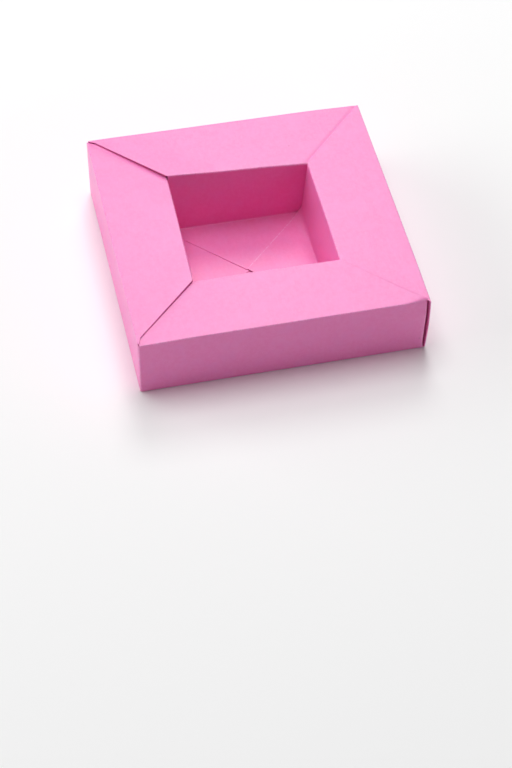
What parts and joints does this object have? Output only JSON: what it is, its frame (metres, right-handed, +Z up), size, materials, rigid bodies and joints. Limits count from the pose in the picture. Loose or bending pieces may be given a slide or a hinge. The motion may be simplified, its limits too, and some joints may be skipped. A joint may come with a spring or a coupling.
{
  "type": "origami box",
  "caption": "Square paper box folded from a single sheet, with a wide flat mitred rim around a small square well that holds little things.",
  "frame": {"origin": "middle of the underside of the base, in the plane that the box stands on", "axes": "+Z up, out of the well; the front side faces -Y and +X points to the right, square to the walls"},
  "size_m": [0.0708, 0.0708, 0.0177],
  "materials": {
    "pink_paper": "matte"
  },
  "bodies": {
    "root": {"folded_sheet": "pink_paper"}
  },
  "joints": []
}
